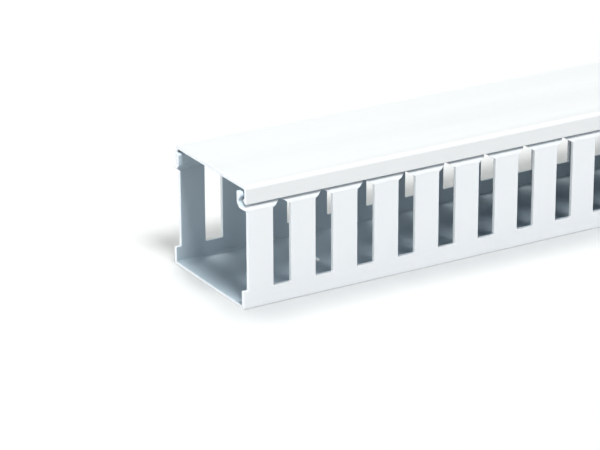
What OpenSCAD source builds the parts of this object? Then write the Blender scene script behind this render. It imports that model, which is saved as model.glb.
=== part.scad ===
// Slotted wire duct with a clip-on cover.
// A stock length of rigid PVC wiring duct lies flat on its floor. The base is one channel whose two
// side walls are punched into fingers. The cover is one plain channel that hooks over the fingertips.
// Units are millimetres. The duct runs along X, the floor is at Z = 0, and the origin is at the middle
// of the underside.

/* [Duct] */
// Length of the base
duct_length = 1000; // [200:20:2000]
// Width over the two side walls
duct_width = 59; // [40:0.5:120]
// Height of the duct with its cover on
duct_height = 52.9; // [45:0.1:120]
// Thickness of the two side walls
wall_t = 1.9; // [1.2:0.1:2.4]
// Thickness of the floor
floor_t = 1.4; // [1.2:0.1:3]
// Radius along the outer edges of the floor
floor_edge_r = 0.4; // [0.3:0.1:1]

/* [Fingers] */
// Distance from one finger to the next
finger_pitch = 20; // [16:0.5:30]
// Width of a slot between two fingers
slot_width = 8.4; // [6:0.1:10]
// Height of the lower end of a slot
slot_floor = 7.8; // [4:0.1:20]
// Length of the cut slot that stays in front of the first finger
end_stub = 2.4; // [0.5:0.1:3.4]
// Width of the slit between two flared fingertips
tip_slit = 1.4; // [1:0.1:6]
// Height over which a fingertip flares
flare_rise = 2.3; // [1:0.1:4]

/* [Fingertips] */
// Drop from the top of the duct to where the fingers start to lean in
shoulder_drop = 10.2; // [10:0.1:10.6]
// Distance that the neck of a fingertip stands in from the wall's outer face
neck_inset = 3.6; // [3.6:0.1:4]
// Thickness of the neck
neck_t = 1.6; // [1.2:0.1:2]
// Thickness of the bead on top of the neck
bead_t = 3.3; // [2.8:0.1:3.6]
// Height of the bead's outer side
bead_h = 1.7; // [1.4:0.1:1.8]

/* [Cover] */
// Thickness of the cover
cover_t = 1.6; // [1.4:0.1:1.8]
// Height of the cover's two side lips
lip_height = 7.8; // [7.6:0.1:8]
// Length of the barb that hooks under the bead
barb_reach = 1.4; // [1:0.1:1.5]
// Outer radius along the cover's long edges
cover_edge_r = 1.6; // [1:0.1:1.8]
// Distance that each end of the cover stands back from the end of the base
cover_setback = 1.5; // [0:0.1:5]
// Clearance between the side of a fingertip and the cover's lip
side_gap = 0.3; // [0.3:0.05:0.5]
// Clearance between the top of a fingertip and the cover
head_gap = 0.9; // [0.3:0.1:1]

/* [Floor holes] */
// Diameter of the holes for the fixing screws
hole_d = 6; // [4:0.1:8]
// Distance from one hole to the next
hole_pitch = 100; // [60:20:200]

/* [Hidden] */
$fn = 48;
pvc_white = [0.93, 0.94, 0.96];
// How far a cutting shape runs past the face that it cuts
overlap = 1;

// The fingertip, from its shoulder up
shoulder_z = duct_height - shoulder_drop;
flare_drop = 0.9;
flare_start = shoulder_z - flare_drop;
inner_shoulder_drop = 0.6;
inner_shoulder_rise = 2.5;
neck_inner = neck_inset + neck_t;
valley_z = shoulder_z + neck_inset;
valley_rise = 0.6;
bead_top = duct_height - cover_t - head_gap;
bead_underside = bead_top - bead_h;
bead_outer = cover_t + side_gap;
bead_inner = bead_outer + bead_t;
bead_lead_in = 0.8;
bead_bevel = 0.5;

// The cover's lip, from its foot up
lip_bottom = duct_height - lip_height;
lip_bevel = 0.4;
lip_foot = 1;
barb_tip = cover_t + barb_reach;
barb_nose_rise = 1.3;
barb_nose_z = lip_bottom + barb_nose_rise;
barb_nose_h = 0.2;
barb_root_rise = 2.4;
barb_root_z = lip_bottom + barb_root_rise;
cover_underside = duct_height - cover_t;
cover_corner = 0.6;
cover_length = duct_length - 2 * cover_setback;

// The rows of slots and holes
slot_total = ceil((duct_length - end_stub + slot_width) / finger_pitch);
first_slot = -duct_length / 2 + end_stub - slot_width / 2;
last_slot = first_slot + (slot_total - 1) * finger_pitch;
hole_total = floor(duct_length / hole_pitch);
first_hole = -(hole_total - 1) / 2 * hole_pitch;

// Lays a section drawn in Y and Z along the duct, centred on the origin.
module extrude_along(length) {
    translate([-length / 2, 0, 0])
        rotate([90, 0, 90])
            linear_extrude(height = length)
                children();
}

// Extrudes an outline drawn in X and Z right across the duct at the given X.
module across_duct(x) {
    translate([x, duct_width / 2 + overlap, 0])
        rotate([90, 0, 0])
            linear_extrude(height = duct_width + 2 * overlap)
                children();
}

// Draws a half of a section, and its mirror image on the other wall.
module on_both_walls() {
    translate([-duct_width / 2, 0])
        children();
    mirror([1, 0])
        translate([-duct_width / 2, 0])
            children();
}

// What a rounded edge of radius r takes away from a square corner at the origin.
module rounded_edge(r) {
    difference() {
        translate([-overlap, -overlap])
            square(r + overlap);
        translate([r, r])
            circle(r = r);
    }
}

// Half of the base in one outline: the floor, the wall, the shoulder that leans in, the thin neck and
// the bead on top of it, which stands out towards the cover's lip. The outer edge below is rounded.
module base_section() {
    difference() {
        polygon([
            [duct_width / 2 + overlap, 0],
            [duct_width / 2 + overlap, floor_t],
            [wall_t, floor_t],
            [wall_t, shoulder_z - inner_shoulder_drop],
            [neck_inner, shoulder_z + inner_shoulder_rise],
            [bead_inner, bead_underside],
            [bead_inner, bead_top - bead_bevel],
            [bead_inner - bead_bevel, bead_top],
            [bead_outer + bead_lead_in, bead_top],
            [bead_outer, bead_top - bead_lead_in],
            [bead_outer, bead_underside],
            [neck_inset, valley_z + valley_rise],
            [neck_inset, valley_z],
            [0, shoulder_z],
            [0, 0]
        ]);
        rounded_edge(floor_edge_r);
    }
}

// One punched opening: a straight slot that narrows to a slit between two flared fingertips.
module slot_outline() {
    half_slot = slot_width / 2;
    half_slit = tip_slit / 2;
    polygon([
        [-half_slot, slot_floor],
        [half_slot, slot_floor],
        [half_slot, flare_start],
        [half_slit, flare_start + flare_rise],
        [half_slit, duct_height],
        [-half_slit, duct_height],
        [-half_slit, flare_start + flare_rise],
        [-half_slot, flare_start]
    ]);
}

// Every slot goes through both walls. The first runs out of the end of the base. Where the last runs
// out of the other end, nothing is left standing beyond its slit.
module slots() {
    for (i = [0 : slot_total - 1])
        across_duct(first_slot + i * finger_pitch)
            slot_outline();
    if (last_slot + slot_width / 2 > duct_length / 2)
        across_duct(last_slot)
            translate([0, slot_floor])
                square([slot_width, duct_height]);
}

// A row of plain holes for fixing screws, along the middle of the floor.
module floor_holes() {
    for (i = [0 : hole_total - 1])
        translate([first_hole + i * hole_pitch, 0, -overlap])
            cylinder(h = floor_t + 2 * overlap, d = hole_d);
}

// Half of the cover in one outline: half the top, and a lip whose lower end leans in along the
// fingertip's shoulder to a barb. The outer edge is rounded.
module cover_section() {
    difference() {
        polygon([
            [duct_width / 2 + overlap, duct_height],
            [0, duct_height],
            [0, lip_bottom + lip_bevel],
            [lip_bevel, lip_bottom],
            [lip_foot, lip_bottom],
            [barb_tip, barb_nose_z],
            [barb_tip, barb_nose_z + barb_nose_h],
            [cover_t, barb_root_z],
            [cover_t, cover_underside - cover_corner],
            [cover_t + cover_corner, cover_underside],
            [duct_width / 2 + overlap, cover_underside]
        ]);
        translate([0, duct_height])
            mirror([0, 1])
                rounded_edge(cover_edge_r);
    }
}

module duct_base() {
    color(pvc_white)
        difference() {
            extrude_along(duct_length)
                on_both_walls()
                    base_section();
            slots();
            floor_holes();
        }
}

module cover() {
    color(pvc_white)
        extrude_along(cover_length)
            on_both_walls()
                cover_section();
}

duct_base();
cover();
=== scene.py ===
"""Slotted wire duct: a stock length of rigid PVC wiring duct with its clip-on cover.

All sizes are in metres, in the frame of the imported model: X along the duct, Z up, and Z = 0 at
the underside of the duct.
"""

import math

import bmesh
import bpy
from mathutils import Matrix, Vector


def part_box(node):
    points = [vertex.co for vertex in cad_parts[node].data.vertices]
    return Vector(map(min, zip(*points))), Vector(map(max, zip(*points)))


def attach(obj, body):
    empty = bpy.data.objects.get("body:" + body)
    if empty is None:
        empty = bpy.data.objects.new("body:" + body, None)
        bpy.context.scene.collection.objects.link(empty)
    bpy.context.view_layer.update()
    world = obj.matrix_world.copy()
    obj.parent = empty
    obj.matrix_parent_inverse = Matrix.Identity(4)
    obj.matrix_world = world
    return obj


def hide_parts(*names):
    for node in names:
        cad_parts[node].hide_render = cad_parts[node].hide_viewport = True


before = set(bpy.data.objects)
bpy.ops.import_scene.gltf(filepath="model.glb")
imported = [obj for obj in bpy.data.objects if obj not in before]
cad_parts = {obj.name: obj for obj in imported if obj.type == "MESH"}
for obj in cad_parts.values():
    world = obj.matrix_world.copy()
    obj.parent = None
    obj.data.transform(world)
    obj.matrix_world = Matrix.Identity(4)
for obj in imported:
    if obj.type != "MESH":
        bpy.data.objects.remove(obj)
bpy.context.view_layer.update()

MM = 0.001
BASE_LOW, BASE_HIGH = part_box("duct_base")
COVER_LOW, COVER_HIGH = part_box("cover")

# ---------------------------------------------------------------- sizes

DUCT_LENGTH = BASE_HIGH[0] - BASE_LOW[0]
HALF_WIDTH = (BASE_HIGH[1] - BASE_LOW[1]) / 2
DUCT_HEIGHT = COVER_HIGH[2]
WALL = 1.9 * MM
FLOOR = 1.4 * MM
FLOOR_EDGE_ROUND = 0.4 * MM
FLOOR_INNER_ROUND = 0.5 * MM

# The slots, and the flare of the fingertips between them.
PITCH = 20 * MM
SLOT_WIDTH = 8.4 * MM
SLOT_FLOOR = 7.8 * MM
SLOT_CORNER_ROUND = 0.35 * MM
END_STUB = 2.4 * MM
TIP_SLIT = 1.4 * MM
FLARE_RISE = 2.3 * MM
FLARE_FOOT_ROUND = 0.5 * MM
FLARE_TIP_ROUND = 0.7 * MM

# A fingertip from the side: shoulder, neck and bead.
SHOULDER = DUCT_HEIGHT - 10.2 * MM
SHOULDER_ROUND = 0.9 * MM
INNER_SHOULDER = SHOULDER - 0.6 * MM
INNER_SHOULDER_ROUND = 0.8 * MM
FLARE_START = SHOULDER - 0.9 * MM
SLOT_MIDDLE = (SLOT_FLOOR + FLARE_START) / 2
NECK_INSET = 3.6 * MM
NECK = 1.6 * MM
NECK_ROUND = 0.35 * MM
INNER_NECK_FOOT = SHOULDER + 2.5 * MM
INNER_NECK_ROUND = 1.2 * MM
VALLEY = SHOULDER + NECK_INSET
VALLEY_RISE = 0.6 * MM
BEAD_TOP = BASE_HIGH[2]
BEAD_UNDERSIDE = BEAD_TOP - 1.7 * MM
BEAD_LEAD_IN = 0.8 * MM
BEAD_BEVEL = 0.5 * MM
BEAD_SIDE_ROUND = 0.3 * MM
BEAD_TOP_ROUND = 0.4 * MM

# The cover. The bead stands clear of its lip by SIDE_GAP.
COVER = 1.6 * MM
COVER_UNDERSIDE = DUCT_HEIGHT - COVER
COVER_EDGE_ROUND = 1.6 * MM
COVER_INNER_ROUND = 0.6 * MM
SIDE_GAP = 0.3 * MM
BEAD_OUTER = COVER + SIDE_GAP
BEAD_INNER = BEAD_OUTER + 3.3 * MM
LIP_BOTTOM = COVER_LOW[2]
LIP_FOOT = 1.0 * MM
LIP_FOOT_ROUND = 0.4 * MM
LIP_EDGE_ROUND = 0.45 * MM
BARB_TIP = COVER + 1.4 * MM
BARB_TIP_ROUND = 0.35 * MM
BARB_NOSE = LIP_BOTTOM + 1.4 * MM
BARB_ROOT = LIP_BOTTOM + 2.4 * MM
BARB_ROOT_ROUND = 0.3 * MM

# The floor holes, and the drill that makes them.
HOLE_DIAMETER = 6 * MM
HOLE_PITCH = 100 * MM
HOLE_SIDES = 32
DRILL_LENGTH = 10 * FLOOR

# Corners that turn less than SMALLEST_TURN stay as they are, and no arc takes more than
# SHARE_OF_SIDE of the shorter side beside its corner.
BASE_ARC_STEPS, COVER_ARC_STEPS, SLOT_ARC_STEPS = 4, 5, 2
SMALLEST_TURN = math.radians(4)
SHARE_OF_SIDE = 0.48

# The small bevel on every sawn or punched edge.
CUT_EDGE_BREAK = 0.16 * MM
CUT_EDGE_ANGLE = math.radians(40)
CUT_EDGE_STEPS = 2
FLAT_FACE_WEIGHT = 100

# How far a punch reaches past what it cuts, and the distance within which points become one.
OVERLAP = 1 * MM
WELD = 0.002 * MM


# ---------------------------------------------------------------- outlines

# A corner of a half section is (depth in from the duct's outer face, height, radius), and a corner
# of a punch is (place along the duct, height, radius).

def round_corners(corners, steps):
    """The outline of the corners (a, b, radius), each made an arc of `steps` straight pieces."""
    outline = []
    count = len(corners)
    for i, (a, b, radius) in enumerate(corners):
        here = Vector((a, b))
        before = Vector(corners[i - 1][:2])
        after = Vector(corners[(i + 1) % count][:2])
        to_before, to_after = (before - here).normalized(), (after - here).normalized()
        turn = math.pi - to_before.angle(to_after)
        if radius <= 0 or turn < SMALLEST_TURN:
            outline.append((a, b))
            continue
        shorter_side = min((before - here).length, (after - here).length)
        reach = min(radius * math.tan(turn / 2), SHARE_OF_SIDE * shorter_side)
        radius = reach / math.tan(turn / 2)
        middle = here + (to_before + to_after).normalized() * (radius / math.cos(turn / 2))
        start = here + to_before * reach - middle
        end = here + to_after * reach - middle
        side = 1 if start.x * end.y - start.y * end.x > 0 else -1
        for k in range(steps + 1):
            bend = Matrix.Rotation(side * turn * k / steps, 2)
            outline.append(tuple(middle + bend @ start))
    return outline


def both_walls(half):
    """A whole section from its left half, whose first and last points are at the duct's middle."""
    outline = half[1:-1]
    left = [(-HALF_WIDTH + depth, z) for depth, z in outline]
    right = [(HALF_WIDTH - depth, z) for depth, z in reversed(outline)]
    return list(reversed(left + right))


def base_section():
    """Half of the channel: from the middle of its underside, up over a fingertip, down inside."""
    return round_corners([
        (HALF_WIDTH, 0, 0),
        (0, 0, FLOOR_EDGE_ROUND),
        (0, SHOULDER, SHOULDER_ROUND),
        (NECK_INSET, VALLEY, NECK_ROUND),
        (NECK_INSET, VALLEY + VALLEY_RISE, NECK_ROUND),
        (BEAD_OUTER, BEAD_UNDERSIDE, NECK_ROUND),
        (BEAD_OUTER, BEAD_TOP - BEAD_LEAD_IN, BEAD_SIDE_ROUND),
        (BEAD_OUTER + BEAD_LEAD_IN, BEAD_TOP, BEAD_TOP_ROUND),
        (BEAD_INNER - BEAD_BEVEL, BEAD_TOP, BEAD_TOP_ROUND),
        (BEAD_INNER, BEAD_TOP - BEAD_BEVEL, BEAD_TOP_ROUND),
        (NECK_INSET + NECK, INNER_NECK_FOOT, INNER_NECK_ROUND),
        (WALL, INNER_SHOULDER, INNER_SHOULDER_ROUND),
        (WALL, FLOOR, FLOOR_INNER_ROUND),
        (HALF_WIDTH, FLOOR, 0),
    ], BASE_ARC_STEPS)


def cover_section():
    """Half of the cover: from the middle of its underside down the lip, and back up outside."""
    return round_corners([
        (HALF_WIDTH, COVER_UNDERSIDE, 0),
        (COVER, COVER_UNDERSIDE, COVER_INNER_ROUND),
        (COVER, BARB_ROOT, BARB_ROOT_ROUND),
        (BARB_TIP, BARB_NOSE, BARB_TIP_ROUND),
        (LIP_FOOT, LIP_BOTTOM, LIP_FOOT_ROUND),
        (0, LIP_BOTTOM, LIP_EDGE_ROUND),
        (0, DUCT_HEIGHT, COVER_EDGE_ROUND),
        (HALF_WIDTH, DUCT_HEIGHT, 0),
    ], COVER_ARC_STEPS)


def slot_outline():
    """One punched opening in X and Z: a straight slot that narrows to a slit between two tips."""
    half_slot, half_slit = SLOT_WIDTH / 2, TIP_SLIT / 2
    above = DUCT_HEIGHT + OVERLAP
    return round_corners([
        (-half_slot, SLOT_FLOOR, SLOT_CORNER_ROUND),
        (half_slot, SLOT_FLOOR, SLOT_CORNER_ROUND),
        (half_slot, FLARE_START, FLARE_FOOT_ROUND),
        (half_slit, FLARE_START + FLARE_RISE, FLARE_TIP_ROUND),
        (half_slit, above, 0),
        (-half_slit, above, 0),
        (-half_slit, FLARE_START + FLARE_RISE, FLARE_TIP_ROUND),
        (-half_slot, FLARE_START, FLARE_FOOT_ROUND),
    ], SLOT_ARC_STEPS)


def open_end_outline(last_slot):
    """The room beyond the slit of the last slot, where nothing is left standing at the end."""
    beyond, above = last_slot + SLOT_WIDTH, DUCT_HEIGHT + 2 * OVERLAP
    return [(last_slot, SLOT_MIDDLE), (beyond, SLOT_MIDDLE), (beyond, above), (last_slot, above)]


# ---------------------------------------------------------------- meshes

def linked_object(name, data):
    """A new object with that data, in the scene."""
    made = bpy.data.objects.new(name, data)
    bpy.context.scene.collection.objects.link(made)
    return made


def face_object(name, points):
    """An object that holds one flat face through the given points."""
    mesh = bpy.data.meshes.new(name)
    mesh.from_pydata(points, [], [tuple(range(len(points)))])
    return linked_object(name, mesh)


def section_object(name, half, start):
    """A whole section standing across the duct at X = start, facing along the duct."""
    outline = []
    for y, z in both_walls(half):
        if not outline or (Vector((y, z)) - Vector(outline[-1][1:])).length > WELD:
            outline.append((start, y, z))
    return face_object(name, outline)


def punch_object(name, outline):
    """A punch with the given outline in X and Z that reaches right through both walls."""
    reach = HALF_WIDTH + OVERLAP
    mesh = bpy.data.meshes.new(name)
    shape = bmesh.new()
    face = shape.faces.new([shape.verts.new((x, -reach, z)) for x, z in outline])
    far = bmesh.ops.extrude_face_region(shape, geom=[face])
    moved = [v for v in far["geom"] if isinstance(v, bmesh.types.BMVert)]
    bmesh.ops.translate(shape, verts=moved, vec=(0, 2 * reach, 0))
    bmesh.ops.recalc_face_normals(shape, faces=shape.faces)
    shape.to_mesh(mesh)
    shape.free()
    return linked_object(name, mesh)


# ---------------------------------------------------------------- nodes

def add(tree, kind, inputs=None, **settings):
    """A node of that kind, with its settings made and its inputs linked or set."""
    node = tree.nodes.new(kind)
    for key, value in settings.items():
        setattr(node, key, value)
    for key, source in (inputs or {}).items():
        socket = node.inputs[key]
        if isinstance(source, bpy.types.NodeSocket):
            tree.links.new(source, socket)
        else:
            socket.default_value = source
    return node


def math_node(tree, operation, first, second=0.0):
    """The result of one math operation on one or two values."""
    return add(tree, "ShaderNodeMath", {0: first, 1: second}, operation=operation).outputs[0]


def scaled(tree, value, factor):
    """The value times the factor."""
    return math_node(tree, "MULTIPLY", value, factor)


# ---------------------------------------------------------------- geometry nodes

def new_tree(name, inputs):
    """An empty geometry tree with the named inputs, each (name, socket type)."""
    tree = bpy.data.node_groups.new(name, "GeometryNodeTree")
    shape = ("Geometry", "NodeSocketGeometry")
    for label, kind in [shape] + inputs:
        tree.interface.new_socket(label, in_out="INPUT", socket_type=kind)
    tree.interface.new_socket(shape[0], in_out="OUTPUT", socket_type=shape[1])
    return tree


def along(tree, distance):
    """A vector along the duct of that length."""
    return add(tree, "ShaderNodeCombineXYZ", {"X": distance}).outputs["Vector"]


def extrusion_group():
    """The node group that draws a flat section out into a closed bar."""
    tree = new_tree("extruded_bar", [("Length", "NodeSocketFloat")])
    source = add(tree, "NodeGroupInput").outputs
    drawn = add(tree, "GeometryNodeExtrudeMesh", {
        "Mesh": source["Geometry"],
        "Offset": along(tree, source["Length"]),
        "Individual": False,
    }, mode="FACES")
    near_end = add(tree, "GeometryNodeFlipFaces", {"Mesh": source["Geometry"]})
    whole = add(tree, "GeometryNodeJoinGeometry")
    for part in (drawn, near_end):
        tree.links.new(part.outputs["Mesh"], whole.inputs["Geometry"])
    welded = add(tree, "GeometryNodeMergeByDistance", {
        "Geometry": whole.outputs["Geometry"],
        "Distance": WELD,
    })
    add(tree, "NodeGroupOutput", {"Geometry": welded.outputs["Geometry"]})
    return tree


def drawn_bar(tree, bar, source):
    """The section that comes into the tree, drawn out to the tree's length."""
    drawn = add(tree, "GeometryNodeGroup", node_tree=bar)
    for label in ("Geometry", "Length"):
        tree.links.new(source[label], drawn.inputs[label])
    return drawn.outputs["Geometry"]


def row_of(tree, punch, count, first, pitch):
    """A row of punches along the duct, as one mesh."""
    line = add(tree, "GeometryNodeMeshLine", {
        "Count": count,
        "Start Location": along(tree, first),
        "Offset": along(tree, pitch),
    }, mode="OFFSET")
    placed = add(tree, "GeometryNodeInstanceOnPoints", {
        "Points": line.outputs["Mesh"],
        "Instance": punch,
    })
    whole = add(tree, "GeometryNodeRealizeInstances", {"Geometry": placed.outputs["Instances"]})
    return whole.outputs["Geometry"]


def finish_tree(tree, shape, finish):
    """The end of a tree: the shape as one real mesh in the given material."""
    real = add(tree, "GeometryNodeRealizeInstances", {"Geometry": shape})
    finished = add(tree, "GeometryNodeSetMaterial", {
        "Geometry": real.outputs["Geometry"],
        "Material": finish,
    })
    add(tree, "NodeGroupOutput", {"Geometry": finished.outputs["Geometry"]})


def punched_duct_tree(bar):
    """The tree for the base: the section drawn out, then slots, open end and holes punched."""
    tree = new_tree("punched_duct", [
        ("Length", "NodeSocketFloat"),
        ("Slot Punch", "NodeSocketObject"),
        ("Slot Count", "NodeSocketInt"),
        ("Slot Pitch", "NodeSocketFloat"),
        ("First Slot", "NodeSocketFloat"),
        ("End Punch", "NodeSocketObject"),
        ("Hole Diameter", "NodeSocketFloat"),
        ("Hole Count", "NodeSocketInt"),
        ("Hole Pitch", "NodeSocketFloat"),
        ("First Hole", "NodeSocketFloat"),
        ("Finish", "NodeSocketMaterial"),
    ])
    source = add(tree, "NodeGroupInput").outputs
    slot_punch = add(tree, "GeometryNodeObjectInfo", {"Object": source["Slot Punch"]})
    end_punch = add(tree, "GeometryNodeObjectInfo", {"Object": source["End Punch"]})
    drill = add(tree, "GeometryNodeMeshCylinder", {
        "Vertices": HOLE_SIDES,
        "Radius": scaled(tree, source["Hole Diameter"], 0.5),
        "Depth": DRILL_LENGTH,
    })
    slots = row_of(tree, slot_punch.outputs["Geometry"], source["Slot Count"],
                   source["First Slot"], source["Slot Pitch"])
    holes = row_of(tree, drill.outputs["Mesh"], source["Hole Count"],
                   source["First Hole"], source["Hole Pitch"])
    punched = add(tree, "GeometryNodeMeshBoolean", {"Mesh 1": drawn_bar(tree, bar, source)},
                  operation="DIFFERENCE", solver="EXACT")
    for cutter in (slots, holes, end_punch.outputs["Geometry"]):
        tree.links.new(cutter, punched.inputs["Mesh 2"])
    finish_tree(tree, punched.outputs["Mesh"], source["Finish"])
    return tree


def plain_strip_tree(bar):
    """The tree for the cover: the section drawn out and nothing else."""
    tree = new_tree("plain_strip", [
        ("Length", "NodeSocketFloat"),
        ("Finish", "NodeSocketMaterial"),
    ])
    source = add(tree, "NodeGroupInput").outputs
    finish_tree(tree, drawn_bar(tree, bar, source), source["Finish"])
    return tree


def evaluated_mesh(holder):
    """The holder's mesh with all its modifiers worked out, as a plain mesh."""
    bpy.context.view_layer.update()
    deps = bpy.context.evaluated_depsgraph_get()
    return bpy.data.meshes.new_from_object(holder.evaluated_get(deps))


def shaped(holder, tree, values):
    """The mesh that the tree makes from the holder with those values. The holder is removed."""
    modifier = holder.modifiers.new("shape", "NODES")
    modifier.node_group = tree
    for item in tree.interface.items_tree:
        if item.in_out == "INPUT" and item.name in values:
            modifier[item.identifier] = values[item.name]
    mesh = evaluated_mesh(holder)
    holder.modifiers.remove(modifier)
    bpy.data.objects.remove(holder)
    return mesh


def finished_piece(name, mesh):
    """The plain piece from that mesh, with its cut edges broken and its shading evened."""
    mesh.shade_smooth()
    piece = linked_object(name, mesh)
    broken = piece.modifiers.new("broken edges", "BEVEL")
    broken.limit_method = "ANGLE"
    broken.angle_limit = CUT_EDGE_ANGLE
    broken.width = CUT_EDGE_BREAK
    broken.segments = CUT_EDGE_STEPS
    broken.use_clamp_overlap = False
    even = piece.modifiers.new("even shading", "WEIGHTED_NORMAL")
    even.keep_sharp = True
    even.weight = FLAT_FACE_WEIGHT
    final = evaluated_mesh(piece)
    final.name = name
    piece.modifiers.clear()
    piece.data = final
    return piece


# ---------------------------------------------------------------- shading helpers

# The Mix node has sockets of the same names for each kind of value, so these go by number.
MIX_FACTOR, MIX_FIRST, MIX_SECOND, MIX_RESULT = 0, 6, 7, 2
NOISE_ROUGHNESS = 0.55


def new_group(name, inputs, outputs):
    """An empty shader group with inputs (name, value) and outputs, all of them numbers."""
    group = bpy.data.node_groups.new(name, "ShaderNodeTree")
    number = "NodeSocketFloat"
    for label, value in inputs:
        socket = group.interface.new_socket(label, in_out="INPUT", socket_type=number)
        socket.default_value = value
    for label in outputs:
        group.interface.new_socket(label, in_out="OUTPUT", socket_type=number)
    return group


def blend_colours(tree, factor, first, second):
    """The colour between two others, each a socket or a colour."""
    inputs = {MIX_FACTOR: factor, MIX_FIRST: first, MIX_SECOND: second}
    return add(tree, "ShaderNodeMix", inputs, data_type="RGBA").outputs[MIX_RESULT]


def noise(tree, per_metre, detail, squeeze=(1, 1, 1)):
    """Noise on Object coordinates. An axis with a squeeze under 1 has it drawn out that way."""
    place = add(tree, "ShaderNodeTexCoord")
    drawn = add(tree, "ShaderNodeMapping", {"Vector": place.outputs["Object"], "Scale": squeeze})
    return add(tree, "ShaderNodeTexNoise", {
        "Vector": drawn.outputs["Vector"],
        "Scale": per_metre,
        "Detail": detail,
        "Roughness": NOISE_ROUGHNESS,
    }).outputs[0]


def remap(tree, value, low, high, new_low=0.0, new_high=1.0):
    """The value moved from one range to another and held inside it."""
    return add(tree, "ShaderNodeMapRange", {
        "Value": value,
        "From Min": low,
        "From Max": high,
        "To Min": new_low,
        "To Max": new_high,
    }).outputs["Result"]


# ---------------------------------------------------------------- shader groups

def die_lines_group():
    """The faint straight lines that an extrusion die leaves along the duct."""
    group = new_group("die_lines", [
        ("Lines Per Metre", 900.0),
        ("Bands Per Metre", 220.0),
    ], ["Height", "Streaks"])
    source = add(group, "NodeGroupInput").outputs
    lines = noise(group, source["Lines Per Metre"], detail=3.0, squeeze=(0.004, 1, 1))
    bands = noise(group, source["Bands Per Metre"], detail=2.0, squeeze=(0.006, 1, 1))
    line_height, band_height = scaled(group, lines, 0.6), scaled(group, bands, 0.8)
    add(group, "NodeGroupOutput", {
        "Height": math_node(group, "ADD", line_height, band_height),
        "Streaks": remap(group, bands, low=0.35, high=0.65),
    })
    return group


def plastic_grain_group():
    """The fine uneven skin of rigid PVC, and slow drifts of tone over it."""
    group = new_group("plastic_grain", [
        ("Grain Per Metre", 2600.0),
        ("Drift Per Metre", 14.0),
    ], ["Height", "Drift"])
    source = add(group, "NodeGroupInput").outputs
    drift = noise(group, source["Drift Per Metre"], detail=3.0, squeeze=(0.5, 1.6, 1.6))
    add(group, "NodeGroupOutput", {
        "Height": noise(group, source["Grain Per Metre"], detail=4.0),
        "Drift": remap(group, drift, low=0.3, high=0.7),
    })
    return group


def cut_faces_group():
    """Where the extrusion was sawn or punched, which is every face that looks along the duct."""
    group = new_group("cut_faces", [("Marks Per Metre", 1500.0)], ["Mask", "Height"])
    source = add(group, "NodeGroupInput").outputs
    place = add(group, "ShaderNodeTexCoord")
    facing = add(group, "ShaderNodeSeparateXYZ", {"Vector": place.outputs["Normal"]})
    mask = remap(group, math_node(group, "ABSOLUTE", facing.outputs["X"]), low=0.9, high=0.98)
    marks = noise(group, source["Marks Per Metre"], detail=2.0, squeeze=(1, 0.12, 1))
    add(group, "NodeGroupOutput", {
        "Mask": mask,
        "Height": scaled(group, marks, mask),
    })
    return group


def worn_edges_group():
    """The thin lighter line where an edge is broken. A flat face has a pointiness of 0.5."""
    group = new_group("worn_edges", [("Sharpness", 0.58)], ["Mask"])
    source = add(group, "NodeGroupInput").outputs
    shape = add(group, "ShaderNodeNewGeometry")
    add(group, "NodeGroupOutput", {
        "Mask": remap(group, shape.outputs["Pointiness"], low=0.51, high=source["Sharpness"]),
    })
    return group


def painted_inner_shade_group():
    """Painted shade: one inside the duct, past the outer skin of walls, floor and cover, and nought
    outside. It colours the inside darker and bluer, as shade.
    """
    group = new_group("painted_inner_shade", [("Wall Depth", WALL), ("Floor Height", FLOOR)], ["Mask"])
    source = add(group, "NodeGroupInput").outputs
    place = add(group, "ShaderNodeTexCoord")
    spot = add(group, "ShaderNodeSeparateXYZ", {"Vector": place.outputs["Object"]}).outputs
    depth = math_node(group, "SUBTRACT", HALF_WIDTH, math_node(group, "ABSOLUTE", spot["Y"]))
    through_wall = math_node(group, "DIVIDE", depth, source["Wall Depth"])
    through_floor = math_node(group, "DIVIDE", spot["Z"], source["Floor Height"])
    past_walls = remap(group, through_wall, low=0.6, high=0.9)
    above_floor = remap(group, through_floor, low=0.1, high=0.3)
    below_top = remap(group, spot["Z"], low=DUCT_HEIGHT - 0.5 * COVER,
                      high=DUCT_HEIGHT - 0.2 * COVER, new_low=1.0, new_high=0.0)
    add(group, "NodeGroupOutput", {
        "Mask": scaled(group, past_walls, scaled(group, above_floor, below_top)),
    })
    return group


GROUPS = {
    "lines": die_lines_group(),
    "grain": plastic_grain_group(),
    "cuts": cut_faces_group(),
    "edges": worn_edges_group(),
    "inside": painted_inner_shade_group(),
}


def use(tree, group, values):
    """The outputs of a shader group that is placed in a material with its own values."""
    return add(tree, "ShaderNodeGroup", values, node_tree=GROUPS[group]).outputs


# ---------------------------------------------------------------- materials

# How strongly streaks, cuts and edges show in the colour, the relief and the roughness.
STREAK_SHOWS, CUT_SHOWS, EDGE_SHOWS = 0.35, 0.9, 0.5
GRAIN_RELIEF, CUT_RELIEF = 0.25, 0.9
STREAK_SMOOTHER, STREAK_ROUGHER, CUT_ROUGHER = 0.05, 0.06, 0.22
BUMP_STRENGTH = 0.25
BUMP_HEIGHT = 0.05 * MM
PVC_REFRACTION = 1.53


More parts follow.
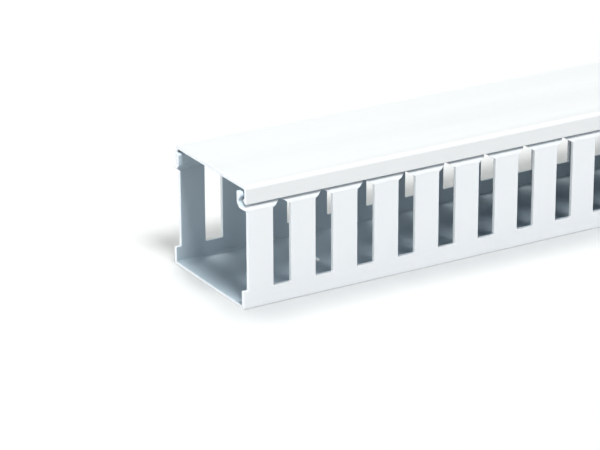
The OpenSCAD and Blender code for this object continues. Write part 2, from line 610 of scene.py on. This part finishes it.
def rigid_pvc(name, tone, shade, painted_shade_tone, cut_tone, line_relief, roughness):
    """Extruded rigid PVC: satin skin with die lines, slightly paler and duller where it was cut,
    with painted shade, darker and bluer, inside the duct.
    """
    material = bpy.data.materials.new(name)
    material.use_nodes = True
    tree = material.node_tree
    shader = tree.nodes["Principled BSDF"].inputs
    shader["IOR"].default_value = PVC_REFRACTION
    lines = use(tree, "lines", {"Lines Per Metre": 900.0, "Bands Per Metre": 220.0})
    grain = use(tree, "grain", {"Grain Per Metre": 2600.0, "Drift Per Metre": 14.0})
    cuts = use(tree, "cuts", {"Marks Per Metre": 1500.0})
    edges = use(tree, "edges", {"Sharpness": 0.58})
    inside = use(tree, "inside", {"Wall Depth": WALL, "Floor Height": FLOOR})

    drifted = blend_colours(tree, grain["Drift"], tone, shade)
    streaked = blend_colours(tree, scaled(tree, lines["Streaks"], STREAK_SHOWS), drifted, shade)
    cut = blend_colours(tree, scaled(tree, cuts["Mask"], CUT_SHOWS), streaked, cut_tone)
    edged = blend_colours(tree, scaled(tree, edges["Mask"], EDGE_SHOWS), cut, cut_tone)
    uncut = math_node(tree, "SUBTRACT", 1.0, cuts["Mask"])
    # Painted shade: the inside of the duct, but not its cut faces, takes the darker, bluer tone
    # given for it.
    shaded_inside = blend_colours(tree, scaled(tree, inside["Mask"], uncut), edged, painted_shade_tone)
    tree.links.new(shaded_inside, shader["Base Color"])

    streaky = remap(tree, lines["Streaks"], low=0.0, high=1.0,
                    new_low=roughness - STREAK_SMOOTHER, new_high=roughness + STREAK_ROUGHER)
    rough = math_node(tree, "ADD", streaky, scaled(tree, cuts["Mask"], CUT_ROUGHER))
    tree.links.new(rough, shader["Roughness"])

    skin = math_node(tree, "ADD", scaled(tree, lines["Height"], line_relief),
                     scaled(tree, grain["Height"], GRAIN_RELIEF))
    relief = math_node(tree, "ADD", skin, scaled(tree, cuts["Height"], CUT_RELIEF))
    bump = add(tree, "ShaderNodeBump", {
        "Height": relief,
        "Strength": BUMP_STRENGTH,
        "Distance": BUMP_HEIGHT,
    })
    tree.links.new(bump.outputs["Normal"], shader["Normal"])
    return material


duct_plastic = rigid_pvc(
    "duct_plastic",
    tone=(0.64, 0.648, 0.655, 1),
    shade=(0.625, 0.633, 0.64, 1),
    # Painted shade inside the channel: darker and bluer than the outer tone.
    painted_shade_tone=(0.50, 0.562, 0.606, 1),
    cut_tone=(0.73, 0.74, 0.75, 1),
    line_relief=1.0,
    roughness=0.42,
)
cover_plastic = rigid_pvc(
    "cover_plastic",
    tone=(0.595, 0.595, 0.59, 1),
    shade=(0.58, 0.58, 0.575, 1),
    # Painted shade under the cover: darker and bluer than the outer tone.
    painted_shade_tone=(0.54, 0.585, 0.615, 1),
    cut_tone=(0.73, 0.74, 0.75, 1),
    line_relief=0.8,
    roughness=0.36,
)


# ---------------------------------------------------------------- the two pieces

def finger_wall_duct(bar):
    """The channel with its two rows of fingers, its open end and its floor holes."""
    first_slot = BASE_LOW[0] + END_STUB - SLOT_WIDTH / 2
    slot_count = math.ceil((DUCT_LENGTH - END_STUB + SLOT_WIDTH) / PITCH)
    last_slot = first_slot + (slot_count - 1) * PITCH
    hole_count = math.floor((DUCT_LENGTH + WELD) / HOLE_PITCH)
    slot_punch = punch_object("slot_punch", slot_outline())
    end_punch = punch_object("end_punch", open_end_outline(last_slot))
    section = section_object("base_section", base_section(), BASE_LOW[0])
    mesh = shaped(section, punched_duct_tree(bar), {
        "Length": DUCT_LENGTH,
        "Slot Punch": slot_punch,
        "Slot Count": slot_count,
        "Slot Pitch": PITCH,
        "First Slot": first_slot,
        "End Punch": end_punch,
        "Hole Diameter": HOLE_DIAMETER,
        "Hole Count": hole_count,
        "Hole Pitch": HOLE_PITCH,
        "First Hole": -(hole_count - 1) / 2 * HOLE_PITCH,
        "Finish": duct_plastic,
    })
    bpy.data.objects.remove(slot_punch)
    bpy.data.objects.remove(end_punch)
    return finished_piece("finger_wall_duct", mesh)


def clip_on_cover(bar):
    """The cover, whose ends stand back a little from those of the channel."""
    section = section_object("cover_section", cover_section(), COVER_LOW[0])
    mesh = shaped(section, plain_strip_tree(bar), {
        "Length": COVER_HIGH[0] - COVER_LOW[0],
        "Finish": cover_plastic,
    })
    return finished_piece("clip_on_cover", mesh)


extruded_bar = extrusion_group()

base = finger_wall_duct(extruded_bar)
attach(base, "base")
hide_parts("duct_base")

cover = clip_on_cover(extruded_bar)
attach(cover, "lid")
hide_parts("cover")


# ---------------------------------------------------------------- studio floor

STUDIO_REACH = 30.0
PAPER_GREY = (0.588, 0.588, 0.588, 1)
PAPER_ROUGHNESS = 0.9

floor = face_object("studio_floor", [
    (-STUDIO_REACH, -STUDIO_REACH, 0),
    (STUDIO_REACH, -STUDIO_REACH, 0),
    (STUDIO_REACH, STUDIO_REACH, 0),
    (-STUDIO_REACH, STUDIO_REACH, 0),
])
paper = bpy.data.materials.new("studio_paper")
paper.use_nodes = True
paper_shader = paper.node_tree.nodes["Principled BSDF"].inputs
paper_shader["Base Color"].default_value = PAPER_GREY
paper_shader["Roughness"].default_value = PAPER_ROUGHNESS
floor.data.materials.append(paper)


# ---------------------------------------------------------------- light

AIR_COLOUR = (0.6, 0.82, 1.0, 1)
AIR_STRENGTH = 0.18
VIEW_GAMMA = 0.75
WARM_WHITE = (1, 0.985, 0.93)

scene = bpy.context.scene
scene.view_settings.view_transform = "Standard"
scene.view_settings.gamma = VIEW_GAMMA
world = bpy.data.worlds.new("studio_air")
world.use_nodes = True
air = world.node_tree.nodes["Background"].inputs
air["Color"].default_value = AIR_COLOUR
air["Strength"].default_value = AIR_STRENGTH
scene.world = world


def soft_light(name, azimuth, elevation, strength, spread, colour=(1, 1, 1)):
    """A broad soft light. Azimuth 0 is in front of the duct and 90 is at its left end."""
    lamp = bpy.data.lights.new(name, "SUN")
    lamp.energy = strength
    lamp.angle = math.radians(spread)
    lamp.color = colour
    side, up = math.radians(azimuth), math.radians(elevation)
    towards = Vector((
        -math.sin(side) * math.cos(up),
        -math.cos(side) * math.cos(up),
        math.sin(up),
    ))
    linked_object(name, lamp).rotation_euler = towards.to_track_quat("Z", "Y").to_euler()


soft_light("key", 2, 58, strength=2.5, spread=18)
soft_light("low_front_fill", -10, 10, strength=0.8, spread=30)
soft_light("low_back_fill", 185, 5, strength=0.95, spread=20)
soft_light("overhead", 195, 74, strength=2.15, spread=30, colour=WARM_WHITE)
soft_light("left_fill", 80, 17, strength=2.3, spread=40)


# ---------------------------------------------------------------- camera

# The lens and the sensor are in millimetres. AIM is on the front wall, near its left end.
LENS, SENSOR = 175.14, 36.0
YAW, PITCH_DOWN, ROLL = 30.62, 21.35, -0.20
AIM = Vector((BASE_LOW[0] + 26.53 * MM, BASE_LOW[1], 31.66 * MM))
DISTANCE = 1185.8 * MM

camera_data = bpy.data.cameras.new("camera")
camera_data.sensor_width = SENSOR
camera_data.lens = LENS
turn = Matrix.Rotation(math.radians(-YAW), 4, "Z")
turn = turn @ Matrix.Rotation(math.radians(90 - PITCH_DOWN), 4, "X")
turn = turn @ Matrix.Rotation(math.radians(ROLL), 4, "Z")
back_off = turn.to_3x3() @ Vector((0, 0, DISTANCE))
camera = linked_object("camera", camera_data)
camera.matrix_world = Matrix.Translation(AIM + back_off) @ turn
scene.camera = camera
